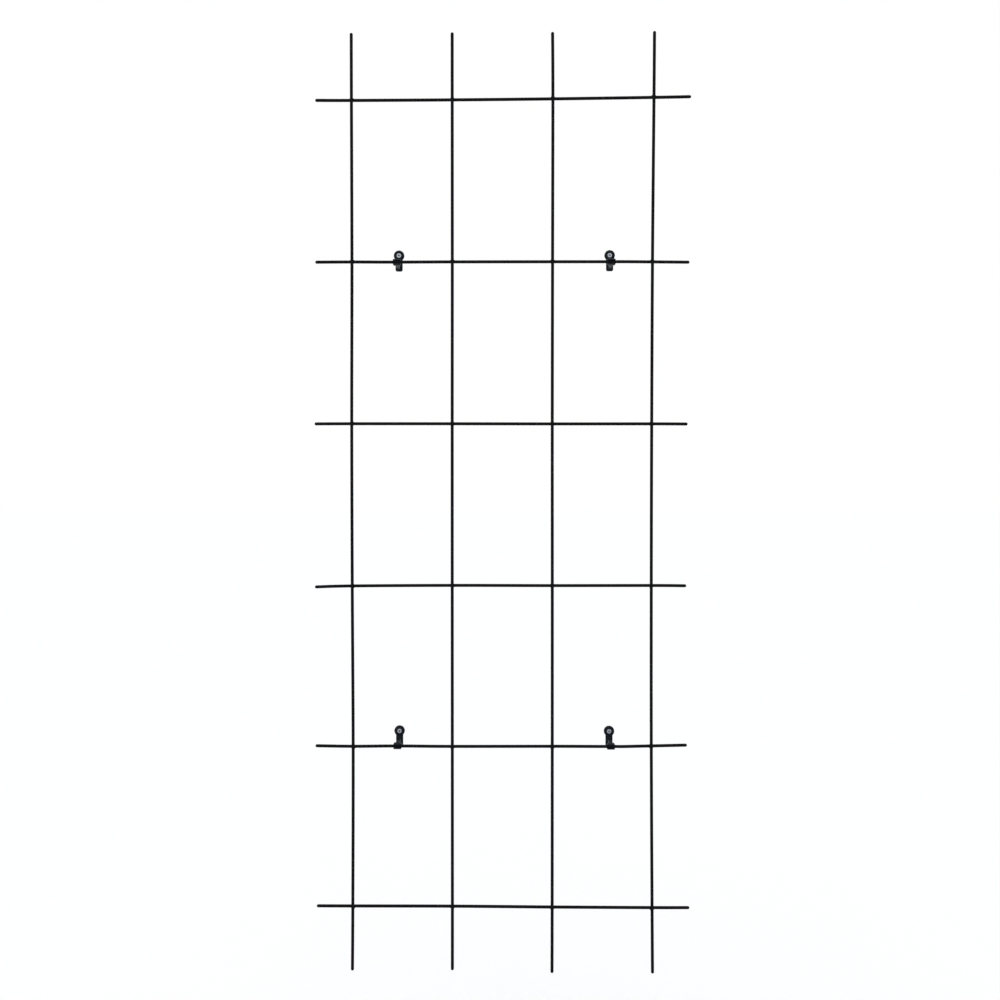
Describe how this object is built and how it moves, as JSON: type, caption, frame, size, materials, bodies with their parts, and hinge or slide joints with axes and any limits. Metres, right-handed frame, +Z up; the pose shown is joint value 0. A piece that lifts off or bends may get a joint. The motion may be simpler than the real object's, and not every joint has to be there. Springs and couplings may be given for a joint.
{
  "type": "espalier frame",
  "caption": "Flat wall trellis of welded round rods with domed ends, held off the wall by moulded brackets that clip on to the cross rods, swivel there and take a countersunk screw.",
  "frame": {"origin": "on the wall face, in the middle of the four wall screws", "axes": "+X to the right, +Y into the wall, +Z up; the grid stands on the -Y side of the wall face"},
  "size_m": [0.6, 0.0832, 1.5],
  "materials": {
    "rod_coating": "satin black coating over steel wire",
    "bracket_nylon": "moulded black nylon, faintly sheened",
    "screw_zinc": "bright zinc plating"
  },
  "bodies": {
    "grid": {"upright_rod_1": "rod_coating", "upright_rod_2": "rod_coating", "upright_rod_3": "rod_coating", "upright_rod_4": "rod_coating", "cross_rod_1": "rod_coating", "cross_rod_2": "rod_coating", "cross_rod_3": "rod_coating", "cross_rod_4": "rod_coating", "cross_rod_5": "rod_coating", "cross_rod_6": "rod_coating", "weld_beads_row_1": "rod_coating", "weld_beads_row_2": "rod_coating", "weld_beads_row_3": "rod_coating", "weld_beads_row_4": "rod_coating", "weld_beads_row_5": "rod_coating", "weld_beads_row_6": "rod_coating"},
    "top_left_bracket_with_screw": {"bracket_top_left": "bracket_nylon", "screw_top_left": "screw_zinc"},
    "top_right_bracket_with_screw": {"bracket_top_right": "bracket_nylon", "screw_top_right": "screw_zinc"},
    "bottom_left_bracket_with_screw": {"bracket_bottom_left": "bracket_nylon", "screw_bottom_left": "screw_zinc"},
    "bottom_right_bracket_with_screw": {"bracket_bottom_right": "bracket_nylon", "screw_bottom_right": "screw_zinc"}
  },
  "joints": [
    {"name": "top_left_swivel", "type": "hinge", "parent": "grid", "child": "top_left_bracket_with_screw", "pos_m": [-0.171, -0.04, 0.37], "axis": [1, 0, 0], "continuous": true},
    {"name": "top_right_swivel", "type": "hinge", "parent": "grid", "child": "top_right_bracket_with_screw", "pos_m": [0.171, -0.04, 0.37], "axis": [1, 0, 0], "continuous": true},
    {"name": "bottom_left_swivel", "type": "hinge", "parent": "grid", "child": "bottom_left_bracket_with_screw", "pos_m": [-0.171, -0.04, -0.404], "axis": [1, 0, 0], "continuous": true},
    {"name": "bottom_right_swivel", "type": "hinge", "parent": "grid", "child": "bottom_right_bracket_with_screw", "pos_m": [0.171, -0.04, -0.404], "axis": [1, 0, 0], "continuous": true}
  ]
}
